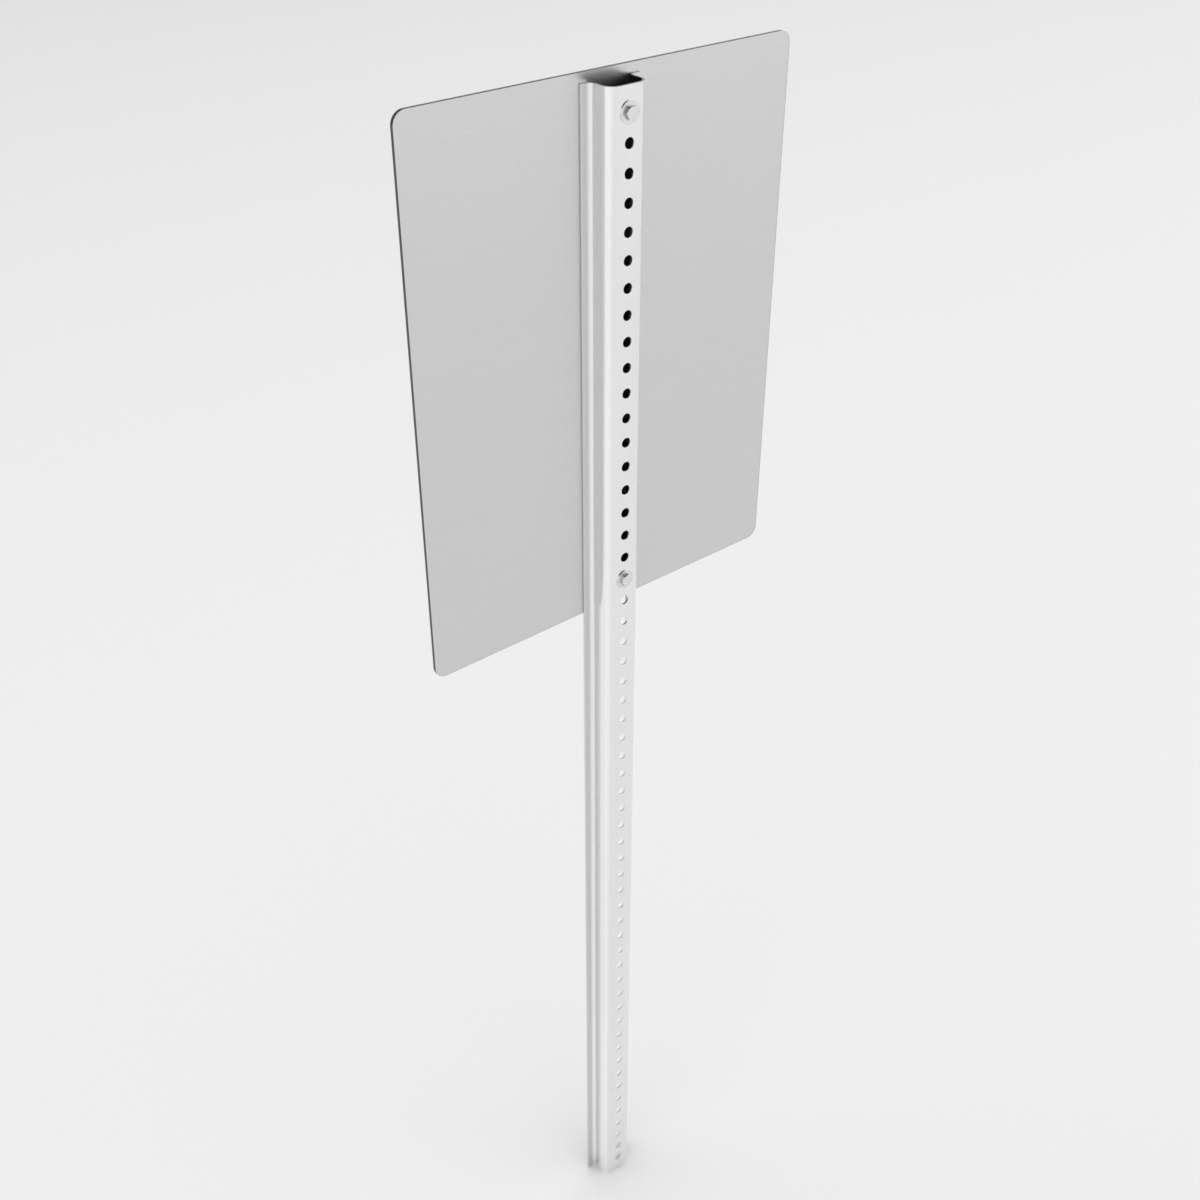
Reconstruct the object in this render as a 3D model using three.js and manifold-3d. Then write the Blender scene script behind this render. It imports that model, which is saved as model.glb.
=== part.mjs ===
// A signpost: a flanged steel U-channel post with an aluminium sign bolted across its flanges.
//
// Millimetres, +Z up. The origin is the middle of the web's sheet at the post's foot.
// The sign faces -Y; the channel's web, its holes and the bolt heads are on the +Y side.

import * as THREE from 'three';
import { mergeVertices } from 'three/addons/utils/BufferGeometryUtils.js';
import Module from 'manifold-3d';

const wasm = await Module();
wasm.setup();

// ---- Post: 14 gauge steel sheet rolled into a hat section ----
const POST_LENGTH = 1443;
const SHEET = 1.9;
const POST_WIDTH = 63.8; // over the flange tips
const POST_DEPTH = 26.7; // from the flanges' seat to the web's outer face
const BOX_WIDTH = 43.2; // over the outside of the two walls
const WEB_CORNER_R = 11.7; // outside of the bend between web and wall
const FLANGE_FILLET_R = 5; // outside of the bend between wall and flange
const BEND_SEGMENTS = 10;

// ---- Holes down the web, one inch apart ----
const HOLE_PITCH = 25.4;
const HOLE_COUNT = 56;
const HOLE_DIAMETER = 9.8;
const TOP_HOLE_DROP = 22.4; // from the post's top end to the centre of the first hole
const HOLE_SEGMENTS = 24;

// ---- Sign ----
const SIGN_WIDTH = 420;
const SIGN_HEIGHT = 530;
const SIGN_RISE = 8.8; // how far the sign stands above the post's top end
const SIGN_CORNER_R = 12;
const BLANK_THICKNESS = 3.2;
const FILM_THICKNESS = 0.3;
const BORDER_INSET = 8;
const BORDER_WIDTH = 10;
const BORDER_THICKNESS = 0.15;
const SIGN_HOLE_DIAMETER = 9.5;
const CORNER_SEGMENTS = 10;

// ---- Fasteners: 1/4 inch bolts through the sign, the channel's hollow and the web ----
const BOLT_HOLES = { upper: 0, lower: 18 }; // which post holes the bolts use, counted from the top
const BOLT_DIAMETER = 6.3;
const BOLT_LENGTH = 44.5; // under the head
const HEX_ACROSS_FLATS = 11.1;
const HEAD_HEIGHT = 3.2;
const NUT_HEIGHT = 5.6;
const NUT_BORE = 6.6;
const WASHER_BORE = 7.1;
const REAR_WASHER = { diameter: 20, thickness: 1 };
const NYLON_WASHER = { diameter: 19, thickness: 1.6 };
const FACE_WASHER = { diameter: 18.6, thickness: 1.6 };
const LOCK_WASHER = { diameter: 12.3, thickness: 1.6 };
const LOCK_WASHER_GAP = THREE.MathUtils.degToRad(14);
const TIP_CHAMFER = 0.7;
const ROUND_SEGMENTS = 32;
const HEX_CORNER_CHAMFER = THREE.MathUtils.degToRad(30);

// ---- Positions that follow from the dimensions ----
const WEB_OUTER_Y = SHEET / 2;
const SEAT_Y = WEB_OUTER_Y - POST_DEPTH; // where the flanges lie on the sign's back
const SIGN_TOP_Z = POST_LENGTH + SIGN_RISE;
const SIGN_CENTRE_Z = SIGN_TOP_Z - SIGN_HEIGHT / 2;
const FILM_Y = SEAT_Y - BLANK_THICKNESS;
const FACE_Y = FILM_Y - FILM_THICKNESS;

const MATERIALS = {
  galvanised: new THREE.MeshStandardMaterial({ color: 0xc9cbcb, roughness: 0.32, metalness: 0.9 }),
  aluminium: new THREE.MeshStandardMaterial({ color: 0xbfc1c2, roughness: 0.42, metalness: 0.9 }),
  whiteFilm: new THREE.MeshStandardMaterial({ color: 0xe9eae8, roughness: 0.25, metalness: 0 }),
  blackFilm: new THREE.MeshStandardMaterial({ color: 0x16181a, roughness: 0.3, metalness: 0 }),
  zincPlate: new THREE.MeshStandardMaterial({ color: 0xced0d1, roughness: 0.3, metalness: 0.9 }),
  nylon: new THREE.MeshStandardMaterial({ color: 0xe4e1d6, roughness: 0.5, metalness: 0 }),
};

function holeHeight(index) {
  return POST_LENGTH - TOP_HOLE_DROP - index * HOLE_PITCH;
}

// ---- Solids ----

function toSolid(geometry) {
  const bare = geometry.clone();
  bare.deleteAttribute('normal');
  bare.deleteAttribute('uv');
  const merged = mergeVertices(bare, 1e-4);
  return new wasm.Manifold(new wasm.Mesh({
    numProp: 3,
    vertProperties: new Float32Array(merged.attributes.position.array),
    triVerts: new Uint32Array(merged.index.array),
  }));
}

function toGeometry(solid) {
  const mesh = solid.getMesh();
  const geometry = new THREE.BufferGeometry();
  geometry.setAttribute('position', new THREE.BufferAttribute(mesh.vertProperties, 3));
  geometry.setIndex(new THREE.BufferAttribute(mesh.triVerts, 1));
  return geometry;
}

// Turns a shape drawn in X and Y and extruded up Z so that it is drawn in X and Z and its
// thickness runs from y = 0 towards -Y.
function standUp(geometry) {
  return geometry.rotateX(Math.PI / 2);
}

// Turns a round or hexagonal piece made about Z so that its axis is Y and its top faces +Y.
function layAlongY(geometry) {
  return geometry.rotateX(-Math.PI / 2);
}

// ---- Post ----

function channelProfile() {
  const tip = POST_WIDTH / 2;
  const wall = BOX_WIDTH / 2;
  const webBend = { x: wall - WEB_CORNER_R, y: WEB_OUTER_Y - WEB_CORNER_R };
  const flangeBend = { x: wall + FLANGE_FILLET_R, y: SEAT_Y + SHEET + FLANGE_FILLET_R };
  const innerWebR = WEB_CORNER_R - SHEET;
  const outerFlangeR = FLANGE_FILLET_R + SHEET;
  const quarter = Math.PI / 2;

  const shape = new THREE.Shape();
  // The side away from the sign, from one flange tip over the web to the other.
  shape.moveTo(-tip, SEAT_Y);
  shape.lineTo(-tip, SEAT_Y + SHEET);
  shape.absarc(-flangeBend.x, flangeBend.y, FLANGE_FILLET_R, -quarter, 0, false);
  shape.absarc(-webBend.x, webBend.y, WEB_CORNER_R, Math.PI, quarter, true);
  shape.absarc(webBend.x, webBend.y, WEB_CORNER_R, quarter, 0, true);
  shape.absarc(flangeBend.x, flangeBend.y, FLANGE_FILLET_R, Math.PI, Math.PI + quarter, false);
  shape.lineTo(tip, SEAT_Y + SHEET);
  // The side towards the sign, and back.
  shape.lineTo(tip, SEAT_Y);
  shape.absarc(flangeBend.x, flangeBend.y, outerFlangeR, Math.PI + quarter, Math.PI, true);
  shape.absarc(webBend.x, webBend.y, innerWebR, 0, quarter, false);
  shape.absarc(-webBend.x, webBend.y, innerWebR, quarter, Math.PI, false);
  shape.absarc(-flangeBend.x, flangeBend.y, outerFlangeR, 0, -quarter, true);
  shape.closePath();
  return shape;
}

function postGeometry() {
  const channel = new THREE.ExtrudeGeometry(channelProfile(), {
    depth: POST_LENGTH,
    bevelEnabled: false,
    curveSegments: BEND_SEGMENTS,
  });
  const drill = new THREE.CylinderGeometry(
    HOLE_DIAMETER / 2, HOLE_DIAMETER / 2, SHEET * 3, HOLE_SEGMENTS);
  let solid = toSolid(channel);
  for (let index = 0; index < HOLE_COUNT; index += 1) {
    solid = solid.subtract(toSolid(drill.clone().translate(0, 0, holeHeight(index))));
  }
  return toGeometry(solid);
}

// ---- Sign ----

function roundedRectangle(path, inset) {
  const halfWidth = SIGN_WIDTH / 2 - inset;
  const halfHeight = SIGN_HEIGHT / 2 - inset;
  const radius = Math.max(SIGN_CORNER_R - inset, 3);
  const quarter = Math.PI / 2;
  const x = halfWidth - radius;
  const y = halfHeight - radius;
  path.moveTo(halfWidth, -y);
  path.absarc(x, y, radius, 0, quarter, false);
  path.absarc(-x, y, radius, quarter, 2 * quarter, false);
  path.absarc(-x, -y, radius, 2 * quarter, 3 * quarter, false);
  path.absarc(x, -y, radius, 3 * quarter, 4 * quarter, false);
  return path;
}

function addBoltHoles(shape) {
  for (const index of Object.values(BOLT_HOLES)) {
    const hole = new THREE.Path();
    hole.absarc(0, holeHeight(index) - SIGN_CENTRE_Z, SIGN_HOLE_DIAMETER / 2, 0, 2 * Math.PI, true);
    shape.holes.push(hole);
  }
  return shape;
}

function flatSheet(shape, thickness) {
  return standUp(new THREE.ExtrudeGeometry(shape, {
    depth: thickness,
    bevelEnabled: false,
    curveSegments: CORNER_SEGMENTS,
  }));
}

function drilledSheet(thickness) {
  return flatSheet(addBoltHoles(roundedRectangle(new THREE.Shape(), 0)), thickness);
}

function borderGeometry() {
  const border = roundedRectangle(new THREE.Shape(), BORDER_INSET);
  border.holes.push(roundedRectangle(new THREE.Path(), BORDER_INSET + BORDER_WIDTH));
  return flatSheet(border, BORDER_THICKNESS);
}

// ---- Fasteners ----

// A hexagon standing on z = 0 with its corners to +X and -X, its top corners cut back by a cone.
function chamferedHexagon(height) {
  const cornerR = HEX_ACROSS_FLATS / 2 / Math.cos(Math.PI / 6);
  const flatR = HEX_ACROSS_FLATS / 2 * 0.95;
  const wide = cornerR * 1.2;
  const prism = new THREE.CylinderGeometry(cornerR, cornerR, height, 6)
    .rotateX(Math.PI / 2)
    .rotateZ(Math.PI / 2)
    .translate(0, 0, height / 2);
  const drop = (wide - flatR) * Math.tan(HEX_CORNER_CHAMFER);
  const cone = new THREE.LatheGeometry([
    new THREE.Vector2(0, -1),
    new THREE.Vector2(wide, -1),
    new THREE.Vector2(wide, height - drop),
    new THREE.Vector2(flatR, height),
    new THREE.Vector2(0, height),
  ], ROUND_SEGMENTS).rotateX(Math.PI / 2);
  return toSolid(prism).intersect(toSolid(cone));
}

function boltGeometry() {
  const radius = BOLT_DIAMETER / 2;
  const rootOverlap = HEAD_HEIGHT / 2;
  const shank = new THREE.LatheGeometry([
    new THREE.Vector2(0, -BOLT_LENGTH),
    new THREE.Vector2(radius - TIP_CHAMFER, -BOLT_LENGTH),
    new THREE.Vector2(radius, -BOLT_LENGTH + TIP_CHAMFER),
    new THREE.Vector2(radius, rootOverlap),
    new THREE.Vector2(0, rootOverlap),
  ], ROUND_SEGMENTS).rotateX(Math.PI / 2);
  return layAlongY(toGeometry(chamferedHexagon(HEAD_HEIGHT).add(toSolid(shank))));
}

function nutGeometry() {
  const bore = new THREE.CylinderGeometry(NUT_BORE / 2, NUT_BORE / 2, NUT_HEIGHT * 3, ROUND_SEGMENTS)
    .rotateX(Math.PI / 2);
  return layAlongY(toGeometry(chamferedHexagon(NUT_HEIGHT).subtract(toSolid(bore))));
}

function ringGeometry(diameter, thickness) {
  const ring = new THREE.Shape();
  ring.absarc(0, 0, diameter / 2, 0, 2 * Math.PI, false);
  const bore = new THREE.Path();
  bore.absarc(0, 0, WASHER_BORE / 2, 0, 2 * Math.PI, true);
  ring.holes.push(bore);
  return layAlongY(new THREE.ExtrudeGeometry(ring, {
    depth: thickness,
    bevelEnabled: false,
    curveSegments: ROUND_SEGMENTS / 2,
  }));
}

// A spring washer squashed flat: a square-section ring with one cut across it.
function splitRingGeometry() {
  const start = LOCK_WASHER_GAP / 2;
  const end = 2 * Math.PI - start;
  const ring = new THREE.Shape();
  ring.absarc(0, 0, LOCK_WASHER.diameter / 2, start, end, false);
  ring.absarc(0, 0, WASHER_BORE / 2, end, start, true);
  ring.closePath();
  return layAlongY(new THREE.ExtrudeGeometry(ring, {
    depth: LOCK_WASHER.thickness,
    bevelEnabled: false,
    curveSegments: ROUND_SEGMENTS / 2,
  }));
}

// ---- Assembly ----

function piece(name, geometry, material, y = 0, z = 0) {
  const mesh = new THREE.Mesh(geometry, material);
  mesh.name = name;
  mesh.position.set(0, y, z);
  return mesh;
}

// One bolt with all that is on it. The group's origin is on the bolt's axis in the web's mid-plane.
function fastenerSet(place) {
  const set = new THREE.Group();
  const zinc = MATERIALS.zincPlate;
  const headSeat = WEB_OUTER_Y + REAR_WASHER.thickness;
  const nylonY = FACE_Y - NYLON_WASHER.thickness;
  const faceWasherY = nylonY - FACE_WASHER.thickness;
  const lockWasherY = faceWasherY - LOCK_WASHER.thickness;
  const nylonRing = ringGeometry(NYLON_WASHER.diameter, NYLON_WASHER.thickness);
  const faceRing = ringGeometry(FACE_WASHER.diameter, FACE_WASHER.thickness);
  const rearRing = ringGeometry(REAR_WASHER.diameter, REAR_WASHER.thickness);
  const nut = nutGeometry().rotateX(Math.PI);
  set.add(
    piece(`hex_bolt_${place}`, boltGeometry(), zinc, headSeat),
    piece(`rear_washer_${place}`, rearRing, zinc, WEB_OUTER_Y),
    piece(`nylon_washer_${place}`, nylonRing, MATERIALS.nylon, nylonY),
    piece(`face_washer_${place}`, faceRing, zinc, faceWasherY),
    piece(`lock_washer_${place}`, splitRingGeometry(), zinc, lockWasherY),
    piece(`hex_nut_${place}`, nut, zinc, lockWasherY),
  );
  set.position.z = holeHeight(BOLT_HOLES[place]);
  return set;
}

function signpost() {
  const group = new THREE.Group();
  group.add(
    piece('u_channel_post', postGeometry(), MATERIALS.galvanised),
    piece('sign_blank', drilledSheet(BLANK_THICKNESS), MATERIALS.aluminium, SEAT_Y, SIGN_CENTRE_Z),
    piece('face_sheeting', drilledSheet(FILM_THICKNESS), MATERIALS.whiteFilm, FILM_Y, SIGN_CENTRE_Z),
    piece('border_film', borderGeometry(), MATERIALS.blackFilm, FACE_Y, SIGN_CENTRE_Z),
  );
  for (const place of Object.keys(BOLT_HOLES)) {
    group.add(fastenerSet(place));
  }
  return group;
}

export default signpost();
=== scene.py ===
"""A signpost seen from behind: a flanged steel U-channel post with an aluminium sign bolted to it."""
import math

import bmesh
import bpy
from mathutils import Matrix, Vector


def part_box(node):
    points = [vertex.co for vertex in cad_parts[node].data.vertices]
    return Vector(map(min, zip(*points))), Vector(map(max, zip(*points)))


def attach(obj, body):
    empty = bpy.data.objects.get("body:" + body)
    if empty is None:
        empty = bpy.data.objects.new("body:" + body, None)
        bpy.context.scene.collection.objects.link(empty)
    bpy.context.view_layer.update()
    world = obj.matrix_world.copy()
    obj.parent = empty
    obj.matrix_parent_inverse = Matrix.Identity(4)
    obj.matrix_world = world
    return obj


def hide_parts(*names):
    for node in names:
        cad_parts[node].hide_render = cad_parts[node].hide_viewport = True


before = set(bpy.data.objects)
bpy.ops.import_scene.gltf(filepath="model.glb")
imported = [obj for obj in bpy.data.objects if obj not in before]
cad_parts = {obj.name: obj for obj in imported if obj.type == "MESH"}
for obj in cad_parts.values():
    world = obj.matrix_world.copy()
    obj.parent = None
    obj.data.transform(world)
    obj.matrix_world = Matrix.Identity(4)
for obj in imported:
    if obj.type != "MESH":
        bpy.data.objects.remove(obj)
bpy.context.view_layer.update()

MM = 0.001
PLACES = ("upper", "lower")

# ---- Post sizes that the frame's boxes don't give ----
SHEET = 1.9 * MM
BOX_WIDTH = 43.2 * MM  # the channel over the outside of its walls
WEB_CORNER_R = 11.7 * MM
FLANGE_FILLET_R = 5.0 * MM
HOLE_PITCH = 25.4 * MM
HOLE_COUNT = 56
HOLE_R = 4.9 * MM
TOP_HOLE_DROP = 22.4 * MM
BOLT_HOLES = {"upper": 0, "lower": 18}
STRIP_EDGE_R = 0.3 * MM  # the slit edges of the strip that the post is rolled from
CUT_CHAMFER = 0.12 * MM  # round the post's two cut ends
PUNCH_ROLL_R = 0.35 * MM  # a hole's edge where the punch went in
PUNCH_BREAK = 0.2 * MM  # how much wider a hole is where the punch came out
TEAR_START = -0.2 * SHEET / 2  # depth from the web's middle at which the punched wall starts to tear
TORN_LENGTH = 0.15 * SHEET  # the rough end of the punched wall
BEND_STEPS = 14
EDGE_STEPS = 3  # round a softened edge, on any piece
CELL_STEPS = 4  # divisions along each side of the web's cell round one hole

# ---- Sign sizes that the frame's boxes don't give ----
SIGN_CORNER_R = 12.0 * MM
SIGN_HOLE_R = 4.75 * MM
SHEARED_EDGE_R = 0.12 * MM
FILM_EDGE_R = 0.08 * MM
BORDER_WIDTH = 10.0 * MM
BORDER_INNER_R = 3.0 * MM
BORDER_EDGE_R = 0.04 * MM
CORNER_STEPS = 12
SIGN_HOLE_STEPS = 48

# ---- Fastener sizes that the frame's boxes don't give ----
HEX_ACROSS_FLATS = 11.1 * MM
HEX_CORNER_CUT = 0.985  # a real hexagon's corners are slightly blunt
HEX_TOP_SHARE = 0.93  # the flat top's width as a share of the width across flats
HEX_CHAMFER = math.radians(30)
HEX_EDGE_R = 0.12 * MM
BOLT_R = 3.15 * MM
BOLT_TIP_CHAMFER = 0.7 * MM
SEAT_RING = 0.3 * MM  # a ring of points close under the head keeps the shank's shading straight
THREAD_PITCH = 1.27 * MM
THREAD_DEPTH = 0.69 * MM
THREAD_LENGTH = 19.0 * MM
THREAD_RINGS = 10  # rings of points along one pitch
THREAD_FADE = 1.5  # turns over which the thread runs out into the plain shank
FLANK_SLOPE = 2.3  # with the root, how the thread's profile climbs through half a pitch
FLANK_ROOT = 0.55
NUT_BORE_R = 3.3 * MM
NUT_SINK = 0.4 * MM
WASHER_BORE_R = 3.55 * MM
WASHER_EDGE_R = 0.15 * MM
WASHER_BURR = 0.06 * MM
LOCK_WASHER_EDGE_R = 0.2 * MM
LOCK_WASHER_GAP = math.radians(14)
LOCK_WASHER_STEP = 0.12 * MM  # how far apart its ends still stand
ROUND_STEPS = 96

# ---- Camera and studio ----
CAMERA_PLACE = (0.7804, 0.9216, 1.7533)
CAMERA_WAY = (-0.5228, -0.6428, -0.5599)
CAMERA_SENSOR = 36.0
CAMERA_LENS = 43.41
PALE_WALL_RADIANCE = 0.84
LIGHT_WALL_RADIANCE = 1.2
LIGHT_WALL_SIDE = (0.26, 0.966, 0.0)
LIGHT_WALL_EDGE = 0.10  # it fades in across this cosine of the angle to its side, either way
LIGHT_WALL_TOP = (0.28, 0.52)  # it fades out between these, as the sine of the height
FRONT_FILL_RADIANCE = 0.6
FRONT_FILL_EDGE = 0.30  # it fades in up to this cosine on the other side
FLOOR_HALF = 40.0
FLOOR_NEAR = (-1.0, 0.822)  # the Y up to which the floor has its near grey, and that grey
FLOOR_FAR = (-9.0, 0.69)  # the Y beyond which it has its far grey, darker as painted shade, and that grey

POST_LO, POST_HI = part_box("u_channel_post")
BLANK_LO, BLANK_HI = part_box("sign_blank")


def hole_height(index):
    return POST_HI.z - TOP_HOLE_DROP - index * HOLE_PITCH


# ---- Camera ----

def make_camera():
    data = bpy.data.cameras.new("camera")
    data.sensor_width = CAMERA_SENSOR
    data.lens = CAMERA_LENS
    data.clip_end = 200.0
    camera = bpy.data.objects.new("camera", data)
    bpy.context.scene.collection.objects.link(camera)
    camera.location = CAMERA_PLACE
    camera.rotation_mode = "QUATERNION"
    camera.rotation_quaternion = Vector(CAMERA_WAY).to_track_quat("-Z", "Y")
    bpy.context.scene.camera = camera


make_camera()


# ---- Material helpers ----

def add_node(tree, kind, inputs, **settings):
    """Adds a node. Each input is a plain value or the socket that feeds it."""
    made = tree.nodes.new(kind)
    for key, value in settings.items():
        setattr(made, key, value)
    for key, value in inputs.items():
        if isinstance(value, bpy.types.NodeSocket):
            tree.links.new(value, made.inputs[key])
        else:
            made.inputs[key].default_value = value
    return made


def start_material(name, **values):
    """A Principled material: itself, its node tree, its shader and the object's coordinates."""
    material = bpy.data.materials.new(name)
    material.use_nodes = True
    tree = material.node_tree
    shader = tree.nodes["Principled BSDF"]
    for key, value in values.items():
        shader.inputs[key.replace("_", " ").title()].default_value = value
    space = add_node(tree, "ShaderNodeTexCoord", {}).outputs["Object"]
    return material, tree, shader, space


def stretched(tree, space, scale):
    """The coordinates with each axis scaled: a texture is drawn out along the axes scaled down."""
    return add_node(tree, "ShaderNodeMapping", {"Vector": space, "Scale": scale}).outputs[0]


def noise(tree, vector, scale, detail=2.0):
    values = {"Vector": vector, "Scale": scale, "Detail": detail}
    return add_node(tree, "ShaderNodeTexNoise", values).outputs["Fac"]


def cells(tree, vector, scale, output="Color", **settings):
    """A grey level for each cell of a Voronoi pattern, or the distance in it."""
    made = add_node(tree, "ShaderNodeTexVoronoi", {"Vector": vector, "Scale": scale}, **settings)
    if output != "Color":
        return made.outputs[output]
    return add_node(tree, "ShaderNodeSeparateColor", {0: made.outputs[output]}).outputs[0]


def spread(tree, value, low, high, from_low=0.3, from_high=0.7):
    """Maps a texture's usual range on to the wanted one."""
    values = {"Value": value, "From Min": from_low, "From Max": from_high,
              "To Min": low, "To Max": high}
    return add_node(tree, "ShaderNodeMapRange", values).outputs["Result"]


def math_node(tree, operation, *values):
    made = add_node(tree, "ShaderNodeMath", dict(enumerate(values)), operation=operation)
    return made.outputs[0]


def axis(tree, space, name):
    """One of the coordinates."""
    return add_node(tree, "ShaderNodeSeparateXYZ", {0: space}).outputs[name]


def mix_colors(tree, factor, first, second):
    values = {0: factor, 6: (*first, 1), 7: (*second, 1)}
    return add_node(tree, "ShaderNodeMix", values, data_type="RGBA").outputs[2]


def mix_greys(tree, factor, first, second):
    return mix_colors(tree, factor, (first,) * 3, (second,) * 3)


def bump(tree, shader, height, distance, strength=1.0):
    """Raises the surface by the height, which is 0 to 1, times the distance in metres."""
    values = {"Height": height, "Distance": distance, "Strength": strength}
    made = add_node(tree, "ShaderNodeBump", values)
    tree.links.new(made.outputs[0], shader.inputs["Normal"])


# ---- Materials ----

# Grey of the strip by depth from the web's middle, as (depth, grey): painted shade dulls the flanges,
# the walls and the web are paler, and painted highlights brighten the fillets and the bends.
PAINTED_LIGHT_GREYS = ((-23.7 * MM, 0.70), (-22.8 * MM, 0.89), (-20.6 * MM, 0.89), (-19.2 * MM, 0.84),
                (-9.0 * MM, 0.90), (-6.5 * MM, 0.91), (-4.2 * MM, 0.97), (-2.2 * MM, 0.97),
                (-0.9 * MM, 0.88), (-0.15 * MM, 0.865))


INSIDE_GREYS = ((-15.0 * MM, 0.84), (-0.6 * MM, 0.80))
PAINTED_SHADE_SHARE = 0.2  # painted shade: the brightness left inside the channel behind the sign
PAINTED_SHADE_FADE = 30.0 * MM  # the height over which the painted shade falls, about the sign's lower edge


def depth_greys(tree, space, stops):
    """A grey that follows the stops through the object's depth."""
    low, high = stops[0][0], stops[-1][0]
    share = spread(tree, axis(tree, space, "Y"), 0.0, 1.0, low, high)
    ramp = add_node(tree, "ShaderNodeValToRGB", {0: share})
    elements = ramp.color_ramp.elements
    for _ in stops[2:]:
        elements.new(0.5)
    for element, (place, grey) in zip(elements, stops):
        element.position = (place - low) / (high - low)
        element.color = (grey, grey, grey, 1)
    return ramp.outputs["Color"]


def make_galvanised(name, greys, painted_shade_share=1.0):
    """Galvanised strip: faint spangle, lengthwise marks from the rolls, and greys with painted light.
    The painted shade share is how much of its brightness is left from the sign's lower edge up, as
    painted shade."""
    material, tree, shader, space = start_material(name, metallic=1.0)
    spangle = cells(tree, space, 110.0)
    clouding = noise(tree, stretched(tree, space, (1, 1, 0.25)), 26.0, 3.0)
    roll_lines = noise(tree, stretched(tree, space, (1, 1, 0.012)), 700.0, 2.0)
    tone = math_node(tree, "MULTIPLY_ADD", spangle, 0.35, clouding)
    shade = spread(tree, tone, 1.01, 0.985, 0.35, 0.95)
    grey = math_node(tree, "MULTIPLY", shade, depth_greys(tree, space, greys))
    # painted shade: darker inside the channel from the sign's lower edge up
    painted_shade_by_height = spread(tree, axis(tree, space, "Z"), 1.0, painted_shade_share,
                    BLANK_LO.z - PAINTED_SHADE_FADE / 2, BLANK_LO.z + PAINTED_SHADE_FADE / 2)
    tree.links.new(math_node(tree, "MULTIPLY", grey, painted_shade_by_height), shader.inputs["Base Color"])
    gloss = math_node(tree, "MULTIPLY_ADD", spangle, 0.5, clouding)
    tree.links.new(spread(tree, gloss, 0.18, 0.24, 0.3, 1.1), shader.inputs["Roughness"])
    bump(tree, shader, roll_lines, 0.004 * MM, 0.4)
    return material


def make_cut_steel():
    """Steel laid bare by the punch and the shear: greyer and rougher, darker still as painted shade,
    scored through the sheet.
    """
    material, tree, shader, space = start_material("cut_steel", metallic=1.0)
    scoring = noise(tree, stretched(tree, space, (1, 0.15, 1)), 1800.0, 2.0)
    stain = noise(tree, space, 300.0, 3.0)
    color = mix_greys(tree, spread(tree, stain, 0.0, 1.0), 0.20, 0.13)
    tree.links.new(color, shader.inputs["Base Color"])
    tree.links.new(spread(tree, scoring, 0.18, 0.30), shader.inputs["Roughness"])
    bump(tree, shader, scoring, 0.03 * MM, 0.5)
    return material


def make_aluminium():
    """Mill-finish sheet with a satin grain along the way it was rolled, and faint clouding."""
    material, tree, shader, space = start_material("aluminium", metallic=1.0)
    grain = noise(tree, stretched(tree, space, (0.35, 1, 1)), 1500.0, 2.0)
    drawn = noise(tree, stretched(tree, space, (0.03, 1, 1)), 420.0, 2.0)
    clouding = noise(tree, space, 9.0, 3.0)
    both = math_node(tree, "MULTIPLY_ADD", drawn, 0.5, grain)
    color = mix_greys(tree, spread(tree, both, 0.0, 1.0, 0.5, 1.0), 0.672, 0.638)
    tree.links.new(color, shader.inputs["Base Color"])
    rough = math_node(tree, "MULTIPLY_ADD", clouding, 0.6, grain)
    tree.links.new(spread(tree, rough, 0.29, 0.35, 0.5, 1.1), shader.inputs["Roughness"])
    bump(tree, shader, both, 0.006 * MM, 0.35)
    return material


def make_sheared_aluminium():
    """The sheared edges of the sign and its film: dark as painted shade, with fine marks through them.
    """
    material, tree, shader, space = start_material("sheared_aluminium", metallic=1.0)
    marks = noise(tree, stretched(tree, space, (1, 0.1, 1)), 1400.0, 2.0)
    color = mix_greys(tree, spread(tree, marks, 0.0, 1.0), 0.11, 0.07)
    tree.links.new(color, shader.inputs["Base Color"])
    tree.links.new(spread(tree, marks, 0.16, 0.26), shader.inputs["Roughness"])
    bump(tree, shader, marks, 0.02 * MM, 0.5)
    return material


def make_reflective_film():
    """White reflective sheeting: a clear top layer over sealed cells with slightly raised walls."""
    material, tree, shader, space = start_material(
        "reflective_film", metallic=0.0, roughness=0.42, coat_weight=0.8, coat_roughness=0.06)
    wall = cells(tree, stretched(tree, space, (1, 0, 1)), 290.0, "Distance",
                 feature="DISTANCE_TO_EDGE")
    fleck = noise(tree, space, 5200.0, 1.0)
    wall_share = spread(tree, wall, 1.0, 0.0, 0.02, 0.09)
    tone = math_node(tree, "MULTIPLY_ADD", fleck, 0.5, wall_share)
    color = mix_colors(tree, spread(tree, tone, 0.0, 1.0, 0.1, 1.3),
                       (0.80, 0.81, 0.81), (0.88, 0.885, 0.88))
    tree.links.new(color, shader.inputs["Base Color"])
    bump(tree, shader, wall_share, 0.01 * MM, 0.4)
    return material


def make_black_film():
    """Cut black vinyl with a trace of the orange peel of its adhesive."""
    material, tree, shader, space = start_material("black_film", metallic=0.0)
    peel = noise(tree, space, 420.0, 2.0)
    color = mix_colors(tree, spread(tree, peel, 0.0, 1.0), (0.012, 0.012, 0.013), (0.02, 0.02, 0.022))
    tree.links.new(color, shader.inputs["Base Color"])
    tree.links.new(spread(tree, peel, 0.24, 0.34), shader.inputs["Roughness"])
    bump(tree, shader, peel, 0.01 * MM, 0.4)
    return material


def make_zinc(name, light, dark, smoothest, roughest):
    """Zinc plate over forged steel, duller where it was tumbled and handled."""
    material, tree, shader, space = start_material(name, metallic=1.0)
    tumbling = noise(tree, space, 900.0, 3.0)
    clouding = noise(tree, space, 160.0, 2.0)
    color = mix_greys(tree, spread(tree, clouding, 0.0, 1.0), light, dark)
    tree.links.new(color, shader.inputs["Base Color"])
    tree.links.new(spread(tree, clouding, smoothest, roughest), shader.inputs["Roughness"])
    bump(tree, shader, tumbling, 0.02 * MM, 0.25)
    return material


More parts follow.
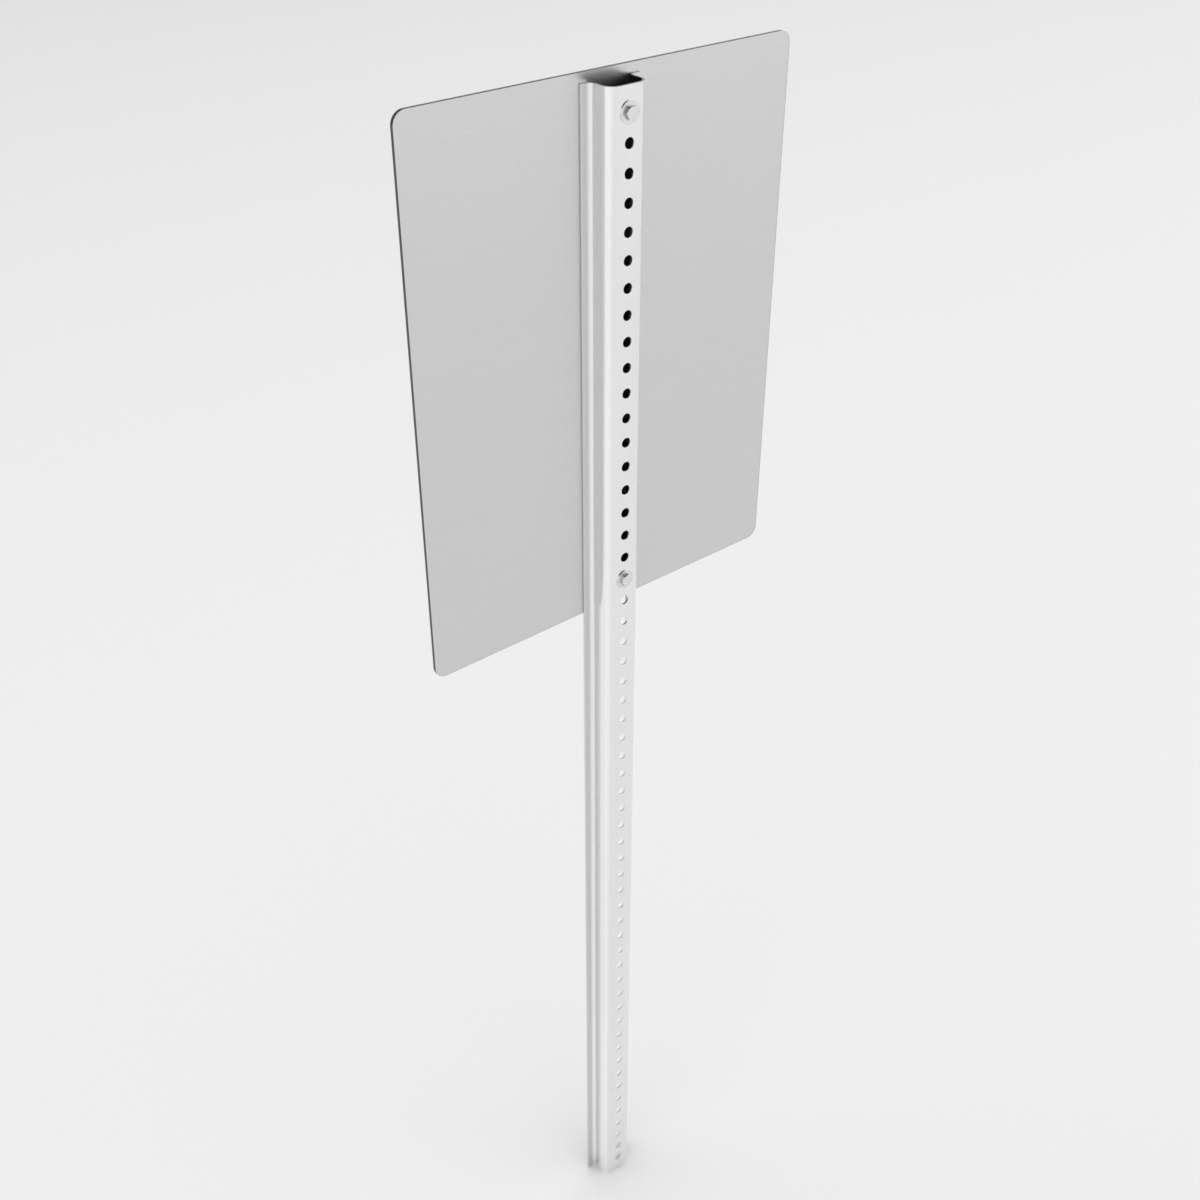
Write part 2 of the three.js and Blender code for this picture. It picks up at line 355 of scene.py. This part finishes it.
def make_nylon():
    """Natural nylon, moulded: slightly milky with a fine matt texture."""
    material, tree, shader, space = start_material(
        "nylon", metallic=0.0, subsurface_weight=0.25, subsurface_scale=1.5 * MM)
    texture = noise(tree, space, 1300.0, 2.0)
    color = mix_colors(tree, spread(tree, texture, 0.0, 1.0), (0.78, 0.76, 0.70), (0.72, 0.70, 0.63))
    tree.links.new(color, shader.inputs["Base Color"])
    tree.links.new(spread(tree, texture, 0.42, 0.55), shader.inputs["Roughness"])
    bump(tree, shader, texture, 0.02 * MM, 0.4)
    return material


GALVANISED = make_galvanised("galvanised", PAINTED_LIGHT_GREYS)
GALVANISED_INSIDE = make_galvanised("galvanised_inside", INSIDE_GREYS, PAINTED_SHADE_SHARE)
CUT_STEEL = make_cut_steel()
ALUMINIUM = make_aluminium()
SHEARED_ALUMINIUM = make_sheared_aluminium()
REFLECTIVE_FILM = make_reflective_film()
BLACK_FILM = make_black_film()
ZINC = make_zinc("zinc_plate", 0.77, 0.74, 0.26, 0.34)
# darker zinc for the sides of the heads and nuts and the washers' edges: painted shade
SHADED_ZINC_SIDES = make_zinc("zinc_sides_painted_shade", 0.48, 0.42, 0.32, 0.42)
NYLON = make_nylon()


# ---- Mesh helpers ----

def link_piece(name, bm, materials, node):
    """Turns a mesh into the piece that stands for a node."""
    bmesh.ops.remove_doubles(bm, verts=bm.verts, dist=0.001 * MM)
    bmesh.ops.recalc_face_normals(bm, faces=bm.faces)
    mesh = bpy.data.meshes.new(name)
    bm.to_mesh(mesh)
    bm.free()
    mesh.shade_smooth()
    mesh.set_sharp_from_angle(angle=math.radians(40))
    for material in materials:
        mesh.materials.append(material)
    piece = bpy.data.objects.new(name, mesh)
    bpy.context.scene.collection.objects.link(piece)
    flat = piece.modifiers.new("flat faces", "WEIGHTED_NORMAL")
    flat.keep_sharp = True
    flat.weight = 100
    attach(piece, "root")
    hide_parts(node)
    return piece


def skin(bm, rows, closed=False, material=0):
    """Faces between successive rows of points. A closed row's last point is joined to its first."""
    made = [[bm.verts.new(point) for point in row] for row in rows]
    count = len(rows[0])
    for low, high in zip(made, made[1:]):
        for i in range(count if closed else count - 1):
            j = (i + 1) % count
            bm.faces.new((low[i], low[j], high[j], high[i])).material_index = material
    return made


def arc(centre, radius, start, end, steps):
    """Points on an arc in a plane, angles in degrees, both ends included."""
    angles = [math.radians(start + (end - start) * i / steps) for i in range(steps + 1)]
    return [(centre[0] + radius * math.cos(a), centre[1] + radius * math.sin(a)) for a in angles]


# ---- Post ----

CUT, INSIDE = 1, 2  # the post's materials other than its outside
WEB_HALF = BOX_WIDTH / 2 - WEB_CORNER_R  # half the width of the flat of the web
WEB_BEND = (WEB_HALF, SHEET / 2 - WEB_CORNER_R)
FLANGE_BEND = (BOX_WIDTH / 2 + FLANGE_FILLET_R, POST_LO.y + SHEET + FLANGE_FILLET_R)


def sheet_line():
    """The sheet's mid-line from the web's flat to the flange's edge, with the normals that point
    away from the sign."""
    line = []
    bend_r = WEB_CORNER_R - SHEET / 2
    for x, y in arc(WEB_BEND, bend_r, 90, 0, BEND_STEPS):
        line.append(((x, y), ((x - WEB_BEND[0]) / bend_r, (y - WEB_BEND[1]) / bend_r)))
    fillet_r = FLANGE_FILLET_R + SHEET / 2
    for x, y in arc(FLANGE_BEND, fillet_r, 180, 270, BEND_STEPS):
        line.append(((x, y), ((FLANGE_BEND[0] - x) / fillet_r, (FLANGE_BEND[1] - y) / fillet_r)))
    line.append(((POST_HI.x, POST_LO.y + SHEET / 2), (0.0, 1.0)))
    return line


def half_section(inset):
    """The outline of the sheet on the +X side of the web, made smaller all round by the inset:
    its two sides and the rounded edge between them."""
    half = SHEET / 2 - inset
    line = sheet_line()
    edge_r = STRIP_EDGE_R
    flat_end = line[-1][0][0] - inset - edge_r
    line[-1] = ((flat_end, line[-1][0][1]), line[-1][1])
    outer = [(x + nx * half, y + ny * half) for (x, y), (nx, ny) in line]
    inner = [(x - nx * half, y - ny * half) for (x, y), (nx, ny) in line]
    edge = arc((flat_end, outer[-1][1] - edge_r), edge_r, 90, 0, EDGE_STEPS)
    edge += arc((flat_end, inner[-1][1] + edge_r), edge_r, 0, -90, EDGE_STEPS)
    return outer, edge[1:-1], inner


def post_rows():
    """Heights at which the swept section has a row of points, between the two chamfered ends."""
    cell = HOLE_PITCH / CELL_STEPS
    lowest = hole_height(HOLE_COUNT - 1) - HOLE_PITCH / 2
    rows = [lowest + i * cell for i in range(HOLE_COUNT * CELL_STEPS + 1)]
    return [POST_LO.z + CUT_CHAMFER, *rows, POST_HI.z - CUT_CHAMFER]


def sweep_half(bm, side):
    """One bend, wall, fillet and flange, from the foot to the top, with its cut ends."""
    def row(inset, height):
        outer, edge, inner = half_section(inset)
        return [(side * x, y, height) for x, y in outer + edge + inner[::-1]]

    rows = [row(0.0, height) for height in post_rows()]
    sheet_points = len(sheet_line())
    inner_start = len(rows[0]) - sheet_points
    skin(bm, [points[:inner_start + 1] for points in rows])
    skin(bm, [points[inner_start:] for points in rows], material=INSIDE)
    for height, start in ((POST_LO.z, rows[0]), (POST_HI.z, rows[-1])):
        end = skin(bm, [start, row(CUT_CHAMFER, height)], material=CUT)[-1]
        for i in range(sheet_points - 1):
            corners = (end[i], end[i + 1], end[-2 - i], end[-1 - i])
            bm.faces.new(corners).material_index = CUT
        bm.faces.new(end[sheet_points - 1:inner_start + 1]).material_index = CUT


def web_bands(bm):
    """The plain web above the first hole's cell and below the last one's, with the cut ends."""
    heights = post_rows()
    across = [WEB_HALF * (2 * i / CELL_STEPS - 1) for i in range(CELL_STEPS + 1)]
    half = SHEET / 2
    for level, end_level, end in ((heights[1], heights[0], POST_LO.z),
                                  (heights[-2], heights[-1], POST_HI.z)):
        for y, material in ((half, 0), (-half, INSIDE)):
            skin(bm, [[(x, y, z) for x in across] for z in (level, end_level)], material=material)
        cut = half - CUT_CHAMFER
        rim = [(half, end_level), (cut, end), (-cut, end), (-half, end_level)]
        skin(bm, [[(x, y, z) for x in across] for y, z in rim], material=CUT)


def hole_profile():
    """Radius and depth through the web of a punched hole, from the side away from the sign."""
    half = SHEET / 2
    roll = arc((HOLE_R + PUNCH_ROLL_R, half - PUNCH_ROLL_R), PUNCH_ROLL_R, 90, 180, EDGE_STEPS)
    torn = (HOLE_R + PUNCH_BREAK / 2, -half + TORN_LENGTH)
    return roll + [(HOLE_R, TEAR_START), torn, (HOLE_R + PUNCH_BREAK, -half)]


def web_cell(bm, height):
    """The web round one hole: flat faces out to the cell's edges, and the hole's punched wall."""
    turns = 8 * CELL_STEPS
    angles = [math.radians(-45 + 360 * i / turns) for i in range(turns)]
    rows = [[(r * math.cos(a), y, height + r * math.sin(a)) for a in angles]
            for r, y in hole_profile()]
    rings = skin(bm, rows, closed=True)
    half_height = HOLE_PITCH / 2
    steps = [2 * i / CELL_STEPS - 1 for i in range(CELL_STEPS)]
    border = [(WEB_HALF, s * half_height) for s in steps]
    border += [(-s * WEB_HALF, half_height) for s in steps]
    border += [(-WEB_HALF, -s * half_height) for s in steps]
    border += [(s * WEB_HALF, -half_height) for s in steps]
    for ring, y, material in ((rings[0], SHEET / 2, 0), (rings[-1], -SHEET / 2, INSIDE)):
        edge = [bm.verts.new((x, y, height + z)) for x, z in border]
        for i, here in enumerate(edge):
            there = edge[(i + 1) % len(edge)]
            a, b, c = ring[2 * i], ring[2 * i + 1], ring[(2 * i + 2) % turns]
            for corners in ((here, a, b), (here, b, there), (there, b, c)):
                bm.faces.new(corners).material_index = material


def make_post():
    bm = bmesh.new()
    for side in (1, -1):
        sweep_half(bm, side)
    web_bands(bm)
    for index in range(HOLE_COUNT):
        web_cell(bm, hole_height(index))
    materials = (GALVANISED, CUT_STEEL, GALVANISED_INSIDE)
    link_piece("post_steel", bm, materials, "u_channel_post")


# ---- Sign ----

def rounded_rectangle(half_width, half_height, corner_r, way=1):
    """A loop of points in X and Z about the sign's centre, as a function of how far it is inset.
    The way is 1 for an outline, which shrinks as it is inset, and -1 for an opening."""
    def loop(inset):
        radius = corner_r - way * inset
        x, z = half_width - corner_r, half_height - corner_r
        corners = ((x, z), (-x, z), (-x, -z), (x, -z))
        points = []
        for i, corner in enumerate(corners):
            points += arc(corner, radius, 90 * i, 90 * i + 90, CORNER_STEPS)
        return points
    return loop


def round_hole(centre_z, radius):
    """A loop of points round a hole, which grows as it is inset."""
    def loop(inset):
        return arc((0.0, centre_z), radius + inset, 0, 360, SIGN_HOLE_STEPS)[:-1]
    return loop


def plate(bm, loops, back, front, edge_r, edge_material):
    """A flat sheet between two planes across Y, with the loops as its rounded-over edges."""
    centre_z = (BLANK_LO.z + BLANK_HI.z) / 2
    turn = arc((edge_r, edge_r), edge_r, 180, 270, EDGE_STEPS)
    profile = [(inset, back - depth) for depth, inset in turn[::-1]]
    profile += [(inset, front + depth) for depth, inset in turn]
    ends = ([], [])
    for loop in loops:
        rows = [[(x, y, centre_z + z) for x, z in loop(inset)] for inset, y in profile]
        made = skin(bm, rows, closed=True, material=edge_material)
        for end, row in zip(ends, (made[0], made[-1])):
            for i, vertex in enumerate(row):
                end.append(bm.edges.get((vertex, row[(i + 1) % len(row)])))
    for end in ends:
        bmesh.ops.triangle_fill(bm, use_beauty=True, edges=end)


def sign_loops():
    """The sign's outline and its two bolt holes, which the blank and its film share."""
    half_width = (BLANK_HI.x - BLANK_LO.x) / 2
    half_height = (BLANK_HI.z - BLANK_LO.z) / 2
    centre_z = (BLANK_LO.z + BLANK_HI.z) / 2
    holes = [round_hole(hole_height(BOLT_HOLES[place]) - centre_z, SIGN_HOLE_R)
             for place in PLACES]
    return [rounded_rectangle(half_width, half_height, SIGN_CORNER_R), *holes]


def make_blank():
    bm = bmesh.new()
    plate(bm, sign_loops(), BLANK_HI.y, BLANK_LO.y, SHEARED_EDGE_R, 1)
    link_piece("sign_sheet", bm, (ALUMINIUM, SHEARED_ALUMINIUM), "sign_blank")


def make_face_film():
    low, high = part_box("face_sheeting")
    bm = bmesh.new()
    plate(bm, sign_loops(), high.y, low.y, FILM_EDGE_R, 1)
    link_piece("face_film", bm, (REFLECTIVE_FILM, SHEARED_ALUMINIUM), "face_sheeting")


def make_border_line():
    """A line of one width just inside the sign's edge, its outer corners concentric with it."""
    low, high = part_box("border_film")
    half_height = (high.z - low.z) / 2
    outer_r = SIGN_CORNER_R - (BLANK_HI.x - high.x)
    outer = rounded_rectangle(high.x, half_height, outer_r)
    inner = rounded_rectangle(high.x - BORDER_WIDTH, half_height - BORDER_WIDTH, BORDER_INNER_R, -1)
    bm = bmesh.new()
    plate(bm, [outer, inner], high.y, low.y, BORDER_EDGE_R, 0)
    link_piece("border_line", bm, (BLACK_FILM,), "border_film")


# ---- Fasteners ----

def hex_radius(angle):
    """Distance from the axis to the side of a hexagon with blunt corners to +X and -X."""
    apothem = HEX_ACROSS_FLATS / 2
    off = (angle % math.radians(60)) - math.radians(30)
    corner = apothem / math.cos(math.radians(30)) * HEX_CORNER_CUT
    return min(apothem / math.cos(off), corner)


def hexagon(seat_y, outer_y, centre_z):
    """Rows of points up a hexagon from its seat to the edge of its flat top, corners chamfered."""
    top_r = HEX_ACROSS_FLATS / 2 * HEX_TOP_SHARE
    way = 1 if outer_y > seat_y else -1
    height = abs(outer_y - seat_y)
    slope = math.tan(HEX_CHAMFER)
    soft = HEX_EDGE_R

    def row(radius_and_rise):
        points = []
        for i in range(ROUND_STEPS):
            angle = 2 * math.pi * i / ROUND_STEPS
            radius, rise = radius_and_rise(hex_radius(angle))
            points.append((radius * math.cos(angle), seat_y + way * rise,
                           centre_z + radius * math.sin(angle)))
        return points

    return [
        row(lambda r: (r - soft, 0.0)),
        row(lambda r: (r, soft)),
        row(lambda r: (r, height - (r - top_r) * slope - soft)),
        row(lambda r: (r - soft / 2, height - (r - top_r) * slope)),
        row(lambda r: (top_r + soft, height - soft * slope)),
        row(lambda r: (top_r, height)),
    ]


def circle(radius, y, centre_z, steps=ROUND_STEPS):
    turns = [2 * math.pi * i / steps for i in range(steps)]
    return [(radius * math.cos(a), y, centre_z + radius * math.sin(a)) for a in turns]


def thread_rows(start_y, end_y, centre_z):
    """Rows of points along a threaded shank, from its plain part to its chamfered end."""
    crest, root = BOLT_R, BOLT_R - THREAD_DEPTH
    count = round(abs(end_y - start_y) / THREAD_PITCH * THREAD_RINGS)
    rows = []
    for i in range(count + 1):
        y = start_y + (end_y - start_y) * i / count
        to_end = abs(end_y - y)
        limit = BOLT_R - max(0.0, BOLT_TIP_CHAMFER - to_end)
        fade_in = min(1.0, i / (THREAD_FADE * THREAD_RINGS))
        points = []
        for j in range(ROUND_STEPS // 2):
            turn = j / (ROUND_STEPS // 2)
            phase = (i / THREAD_RINGS + turn) % 1.0
            rise = min(1.0, max(0.0, FLANK_SLOPE * abs(2 * phase - 1) - FLANK_ROOT))
            radius = min(limit, crest - (crest - root) * (1 - rise) * fade_in)
            angle = 2 * math.pi * turn
            points.append((radius * math.cos(angle), y, centre_z + radius * math.sin(angle)))
        rows.append(points)
    return rows


def make_bolt(place):
    """Low flat hexagon head, plain shank, and thread up to the tip."""
    low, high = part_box(f"hex_bolt_{place}")
    centre_z = (low.z + high.z) / 2
    seat_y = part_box(f"rear_washer_{place}")[1].y
    bm = bmesh.new()
    head = hexagon(seat_y, high.y, centre_z)
    # the sides take the darker zinc: painted shade
    skin(bm, head[:4], closed=True, material=1)
    bm.faces.new(skin(bm, head[3:], closed=True)[-1])
    skin(bm, [head[0], circle(BOLT_R, seat_y, centre_z)], closed=True)
    thread = thread_rows(low.y + THREAD_LENGTH, low.y, centre_z)
    shank = [circle(BOLT_R, y, centre_z, ROUND_STEPS // 2)
             for y in (seat_y, seat_y - SEAT_RING, low.y + THREAD_LENGTH)]
    bm.faces.new(skin(bm, shank + thread[1:], closed=True)[-1])
    link_piece(f"bolt_{place}", bm, (ZINC, SHADED_ZINC_SIDES), f"hex_bolt_{place}")


def make_nut(place):
    """Hexagon nut with a countersunk bore, tight against the lock washer."""
    low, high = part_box(f"hex_nut_{place}")
    centre_z = (low.z + high.z) / 2
    bore = [circle(NUT_BORE_R + NUT_SINK, low.y, centre_z),
            circle(NUT_BORE_R, low.y + NUT_SINK, centre_z),
            circle(NUT_BORE_R, high.y - NUT_SINK, centre_z),
            circle(NUT_BORE_R + NUT_SINK, high.y, centre_z)]
    sides = hexagon(high.y, low.y, centre_z)
    bm = bmesh.new()
    # the sides take the darker zinc: painted shade
    skin(bm, sides[:4], closed=True, material=1)
    skin(bm, sides[3:] + bore + [sides[0]], closed=True)
    link_piece(f"nut_{place}", bm, (ZINC, SHADED_ZINC_SIDES), f"hex_nut_{place}")


def ring_section(inner_r, outer_r, low_y, high_y, edge_r):
    """A washer's cross-section as radius and Y: square at the die side, rounded at the other."""
    outer = arc((outer_r - edge_r, high_y - edge_r), edge_r, 90, 0, EDGE_STEPS)
    inner = arc((inner_r + edge_r, high_y - edge_r), edge_r, 180, 90, EDGE_STEPS)
    foot = [(outer_r, low_y + WASHER_BURR), (outer_r - WASHER_BURR, low_y),
            (inner_r + WASHER_BURR, low_y), (inner_r, low_y + WASHER_BURR)]
    return outer + foot + inner


def make_washer(name, node, materials):
    """Flat washer whose faces come from the node's box. The second material is for its edges."""
    low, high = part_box(node)
    centre_z = (low.z + high.z) / 2
    section = ring_section(WASHER_BORE_R, (high.x - low.x) / 2, low.y, high.y, WASHER_EDGE_R)
    bm = bmesh.new()
    rows = [circle(radius, y, centre_z) for radius, y in section]
    skin(bm, rows, closed=True, material=1)
    skin(bm, [rows[-1], rows[0]], closed=True)
    link_piece(name, bm, materials, node)


def make_lock_washer(place):
    """Split spring washer: one square-section turn whose ends still stand slightly apart."""
    node = f"lock_washer_{place}"
    low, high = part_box(node)
    centre_z = (low.z + high.z) / 2
    outer_r = (high.x - low.x) / 2
    section = ring_section(WASHER_BORE_R, outer_r, low.y, high.y - LOCK_WASHER_STEP, LOCK_WASHER_EDGE_R)
    rows = []
    for i in range(ROUND_STEPS + 1):
        turn = i / ROUND_STEPS
        angle = LOCK_WASHER_GAP / 2 + (2 * math.pi - LOCK_WASHER_GAP) * turn
        across, up = math.cos(angle), math.sin(angle)
        rows.append([(radius * across, y + LOCK_WASHER_STEP * turn, centre_z + radius * up)
                     for radius, y in section])
    bm = bmesh.new()
    made = skin(bm, rows, closed=True)
    for end in (made[0], made[-1]):
        bm.faces.new(end)
    link_piece(f"spring_washer_{place}", bm, (ZINC,), node)


make_post()
make_blank()
make_face_film()
make_border_line()
for place in PLACES:
    make_bolt(place)
    make_nut(place)
    make_lock_washer(place)
    make_washer(f"web_washer_{place}", f"rear_washer_{place}", (ZINC, ZINC))
    make_washer(f"flat_washer_{place}", f"face_washer_{place}", (ZINC, SHADED_ZINC_SIDES))
    make_washer(f"plastic_washer_{place}", f"nylon_washer_{place}", (NYLON, NYLON))


# ---- Stage ----

def make_floor():
    """A matt pale floor, slightly darker far off on the side that the sign faces: painted shade where
    the light falls off.
    """
    bm = bmesh.new()
    bmesh.ops.create_grid(bm, x_segments=8, y_segments=8, size=FLOOR_HALF)
    mesh = bpy.data.meshes.new("floor")
    bm.to_mesh(mesh)
    bm.free()
    floor = bpy.data.objects.new("floor", mesh)
    bpy.context.scene.collection.objects.link(floor)
    material, tree, shader, space = start_material("floor", roughness=0.9)
    grain = noise(tree, space, 900.0, 2.0)
    nearness = math_node(tree, "MULTIPLY_ADD", grain, 0.4, axis(tree, space, "Y"))
    share = spread(tree, nearness, 0.0, 1.0, FLOOR_FAR[0], FLOOR_NEAR[0])
    color = mix_greys(tree, share, FLOOR_FAR[1], FLOOR_NEAR[1])
    tree.links.new(color, shader.inputs["Base Color"])
    mesh.materials.append(material)


def make_world():
    """A studio with a wide soft light wall on the post's side, up to a third of the way to the
    zenith, and a dimmer fill on the side of the sign's face. The camera itself sees a plain pale
    wall past the floor."""
    world = bpy.data.worlds.new("studio")
    bpy.context.scene.world = world
    world.use_nodes = True
    tree = world.node_tree
    way = add_node(tree, "ShaderNodeTexCoord", {}).outputs["Generated"]
    values = {0: way, 1: LIGHT_WALL_SIDE}
    facing = add_node(tree, "ShaderNodeVectorMath", values, operation="DOT_PRODUCT").outputs["Value"]
    across = spread(tree, facing, 0.0, LIGHT_WALL_RADIANCE, -LIGHT_WALL_EDGE, LIGHT_WALL_EDGE)
    up = spread(tree, axis(tree, way, "Z"), 1.0, 0.0, *LIGHT_WALL_TOP)
    fill = spread(tree, facing, FRONT_FILL_RADIANCE, 0.0, -FRONT_FILL_EDGE, 0.0)
    glow = math_node(tree, "ADD", math_node(tree, "MULTIPLY", across, up), fill)
    seen = add_node(tree, "ShaderNodeLightPath", {}).outputs["Is Camera Ray"]
    radiance = add_node(tree, "ShaderNodeMix", {0: seen, 2: glow, 3: PALE_WALL_RADIANCE}).outputs[0]
    tree.links.new(radiance, tree.nodes["Background"].inputs["Color"])


def make_lamp(name, azimuth, elevation, energy, spread_angle, in_reflections=True):
    """A distant soft lamp. Azimuth is from +X towards +Y, both angles are towards the lamp."""
    data = bpy.data.lights.new(name, "SUN")
    data.energy = energy
    data.angle = math.radians(spread_angle)
    lamp = bpy.data.objects.new(name, data)
    lamp.visible_glossy = in_reflections
    turn, rise = math.radians(azimuth), math.radians(elevation)
    level = math.cos(rise)
    towards = Vector((level * math.cos(turn), level * math.sin(turn), math.sin(rise)))
    lamp.rotation_mode = "QUATERNION"
    lamp.rotation_quaternion = (-towards).to_track_quat("-Z", "Y")
    bpy.context.scene.collection.objects.link(lamp)


make_floor()
make_world()
make_lamp("dome", azimuth=59, elevation=77, energy=2.10, spread_angle=100, in_reflections=False)
make_lamp("low_box_left", azimuth=14, elevation=9, energy=0.55, spread_angle=40)
make_lamp("low_box_right", azimuth=138, elevation=10, energy=0.6, spread_angle=52)
bpy.context.scene.view_settings.view_transform = "Standard"
